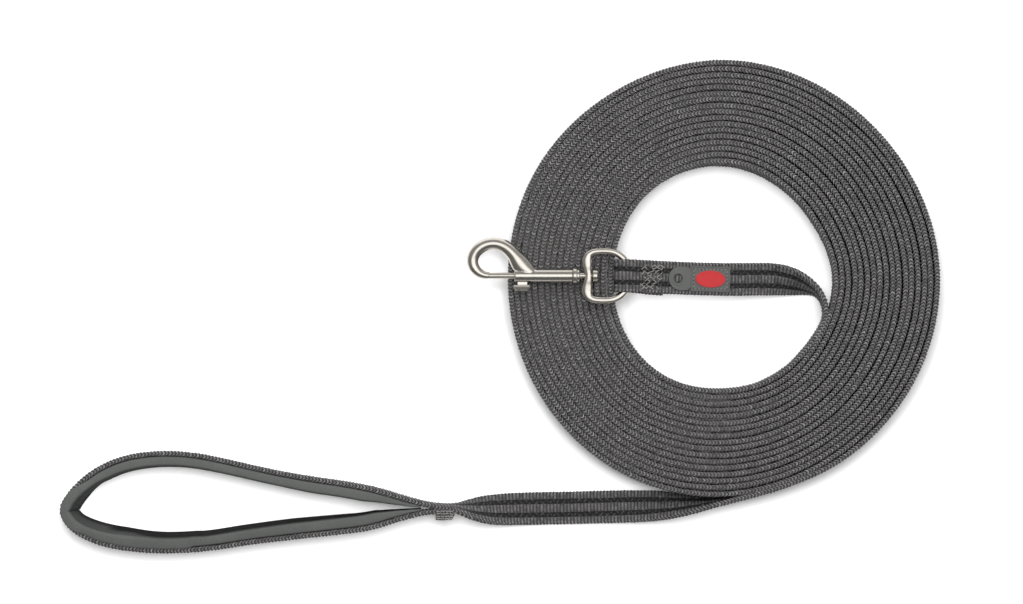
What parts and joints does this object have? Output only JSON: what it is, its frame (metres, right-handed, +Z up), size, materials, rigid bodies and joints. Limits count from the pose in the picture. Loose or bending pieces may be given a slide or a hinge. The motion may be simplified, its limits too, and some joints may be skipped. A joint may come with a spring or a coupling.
{
  "type": "training leash",
  "caption": "Flat webbing training leash, coiled on edge, with a padded hand loop at one end and a swivel bolt snap at the other.",
  "frame": {"origin": "middle of the ground that the coiled leash covers, at its underside", "axes": "+X from the hand loop to the coil, +Z up from the surface that it lies on"},
  "size_m": [0.4454, 0.25, 0.0259],
  "materials": {
    "webbing": "matte cross-ribbed webbing with two woven rubber lines",
    "neoprene": "smooth fabric-faced neoprene foam",
    "thread": "bonded sewing thread",
    "label_rubber": "matte moulded rubber",
    "inlay": "matte moulded rubber",
    "nickel": "satin nickel over die-cast zinc",
    "spring_steel": "drawn wire"
  },
  "bodies": {
    "strap": {"coil_inner_turns": "webbing", "coil_outer_turns": "webbing", "snap_lead": "webbing", "snap_loop": "webbing", "snap_strap_end": "webbing", "handle_lead": "webbing", "hand_loop_strap": "webbing", "handle_strap_end": "webbing", "loop_padding": "neoprene", "snap_bartack": "thread", "handle_bartack": "thread", "label": "label_rubber", "label_inlay": "inlay", "label_stitching": "thread"},
    "eye": {"swivel_eye": "nickel"},
    "snap": {"snap_body": "nickel", "swivel_stud": "nickel", "bolt_spring": "spring_steel"},
    "bolt": {"bolt_rod": "nickel", "thumb_lug": "nickel"}
  },
  "joints": [
    {"name": "eye_tilt", "type": "hinge", "parent": "strap", "child": "eye", "pos_m": [0.06575, 0.0157, 0.02155], "axis": [0, 1, 0], "range_deg": [0, 90], "deforming": ["snap_loop"]},
    {"name": "snap_swivel", "type": "hinge", "parent": "eye", "child": "snap", "pos_m": [0.0444, 0.0157, 0.02155], "axis": [1, 0, 0], "continuous": true, "deforming": ["coil_outer_turns"]},
    {"name": "bolt_slide", "type": "slide", "parent": "snap", "child": "bolt", "axis": [1, 0, 0], "range_m": [0, 0.0105], "stiffness_N_per_m": 300, "springref_m": -0.006, "deforming": ["bolt_spring"]}
  ]
}
